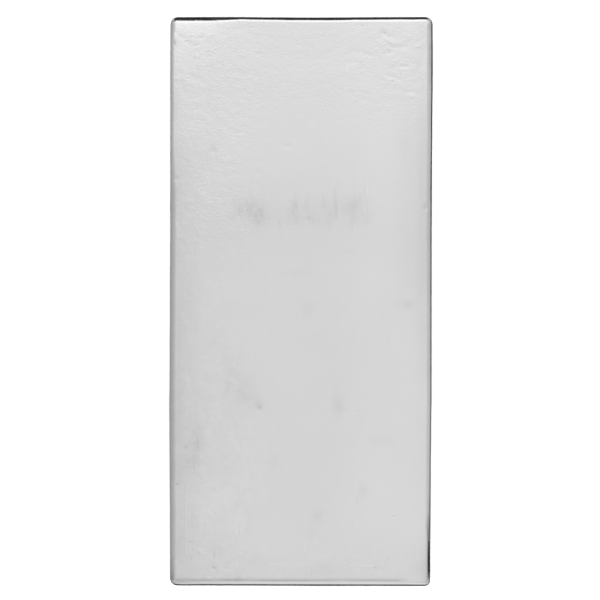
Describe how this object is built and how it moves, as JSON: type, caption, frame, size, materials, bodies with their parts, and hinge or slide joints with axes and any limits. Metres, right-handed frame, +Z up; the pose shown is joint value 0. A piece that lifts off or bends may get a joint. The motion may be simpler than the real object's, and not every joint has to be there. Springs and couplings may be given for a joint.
{
  "type": "metal ingot",
  "caption": "Flat rectangular cast silver ingot with drafted sides, rounded edges and a plain unmarked face.",
  "frame": {"origin": "centre of the flat lower face that the bar lies on", "axes": "+Y along the bar's length, +X across its width, +Z up through its thickness, out of the plain mould-side face"},
  "size_m": [0.0546, 0.118, 0.015],
  "materials": {
    "silver": "satin"
  },
  "bodies": {
    "root": {"ingot": "silver"}
  },
  "joints": []
}
